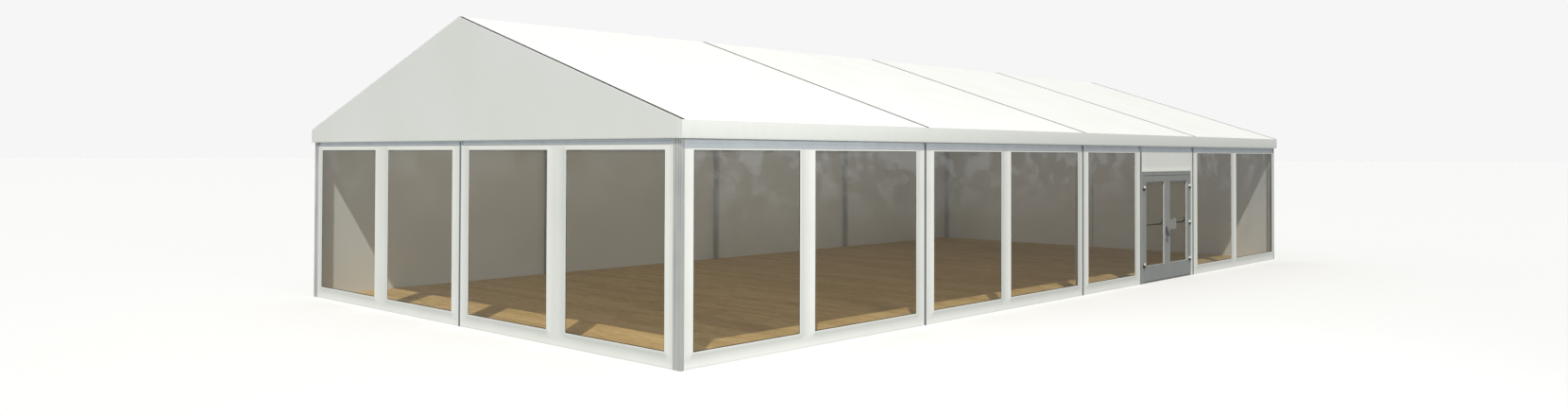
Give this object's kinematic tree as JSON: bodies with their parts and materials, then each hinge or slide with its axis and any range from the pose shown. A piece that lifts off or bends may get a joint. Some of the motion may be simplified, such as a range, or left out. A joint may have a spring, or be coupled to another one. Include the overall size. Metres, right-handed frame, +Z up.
{
  "type": "clear-span marquee tent",
  "caption": "Gabled marquee tent on aluminium portal frames with white covers, clear window walls, a timber floor and a hinged double door.",
  "frame": {"origin": "middle of the floor at ground level", "axes": "+Y along the length towards the plain gable, +X towards the side with the door, +Z up"},
  "size_m": [10.116, 20.078, 4.6821],
  "materials": {
    "roof_fabric": "coated polyester roof cover, satin white",
    "wall_fabric": "coated polyester wall sheet, satin white",
    "white_fascia": "white coated, satin",
    "aluminium_profile": "mill finish extrusion",
    "door_metal": "grey coated extrusion",
    "dark_metal": "dark coated tube",
    "handle_metal": "blue grey cast metal",
    "lock_metal": "light grey case",
    "clear_film": "clear flexible window film, glossy",
    "door_glass": "clear door glass",
    "oak_floor": "oak boards, matt sealed"
  },
  "bodies": {
    "hall": {"timber_floor": "oak_floor", "portal_frame_1": "aluminium_profile", "portal_frame_2": "aluminium_profile", "portal_frame_3": "aluminium_profile", "portal_frame_4": "aluminium_profile", "portal_frame_5": "aluminium_profile", "eave_rail_left": "aluminium_profile", "eave_rail_right": "aluminium_profile", "ridge_rail": "aluminium_profile", "gable_frame_front": "aluminium_profile", "gable_frame_back": "aluminium_profile", "roof_cover_1": "roof_fabric", "roof_cover_2": "roof_fabric", "roof_cover_3": "roof_fabric", "roof_cover_4": "roof_fabric", "eave_fascia_left": "white_fascia", "eave_fascia_right": "white_fascia", "gable_infill_front": "white_fascia", "gable_infill_back": "white_fascia", "gable_window_wall_left": "wall_fabric", "gable_window_wall_right": "wall_fabric", "window_wall_1": "wall_fabric", "window_wall_2": "wall_fabric", "window_wall_3": "wall_fabric", "window_wall_4": "wall_fabric", "gable_window_wall_left_film": "clear_film", "gable_window_wall_right_film": "clear_film", "window_wall_1_film": "clear_film", "window_wall_2_film": "clear_film", "window_wall_3_film": "clear_film", "window_wall_4_film": "clear_film", "gable_wall_left": "wall_fabric", "gable_wall_right": "wall_fabric", "side_wall_1": "wall_fabric", "side_wall_2": "wall_fabric", "side_wall_3": "wall_fabric", "side_wall_4": "wall_fabric", "door_post": "aluminium_profile", "door_surround_sheet": "wall_fabric", "door_frame": "door_metal"},
    "left_leaf": {"door_leaf_left": "door_metal", "door_glass_left": "door_glass", "pull_handle": "handle_metal"},
    "left_bar": {"push_bar_left": "dark_metal"},
    "right_leaf": {"door_leaf_right": "door_metal", "door_glass_right": "door_glass", "lock_case": "lock_metal"},
    "right_bar": {"push_bar_right": "dark_metal"}
  },
  "joints": [
    {"name": "left_leaf_hinge", "type": "hinge", "parent": "hall", "child": "left_leaf", "pos_m": [5.02, 2.565, 1.155], "axis": [0, 0, -1], "range_deg": [0, 100]},
    {"name": "right_leaf_hinge", "type": "hinge", "parent": "hall", "child": "right_leaf", "pos_m": [5.02, 4.805, 1.155], "axis": [0, 0, 1], "range_deg": [0, 100]},
    {"name": "left_bar_pivot", "type": "hinge", "parent": "left_leaf", "child": "left_bar", "pos_m": [4.926, 3.12, 1.221], "axis": [0, -1, 0], "range_deg": [0, 12], "stiffness_Nm_per_rad": 4, "springref_deg": -28.65},
    {"name": "right_bar_pivot", "type": "hinge", "parent": "right_leaf", "child": "right_bar", "pos_m": [4.926, 4.5, 1.221], "axis": [0, -1, 0], "range_deg": [0, 12], "stiffness_Nm_per_rad": 4, "springref_deg": -28.65}
  ]
}
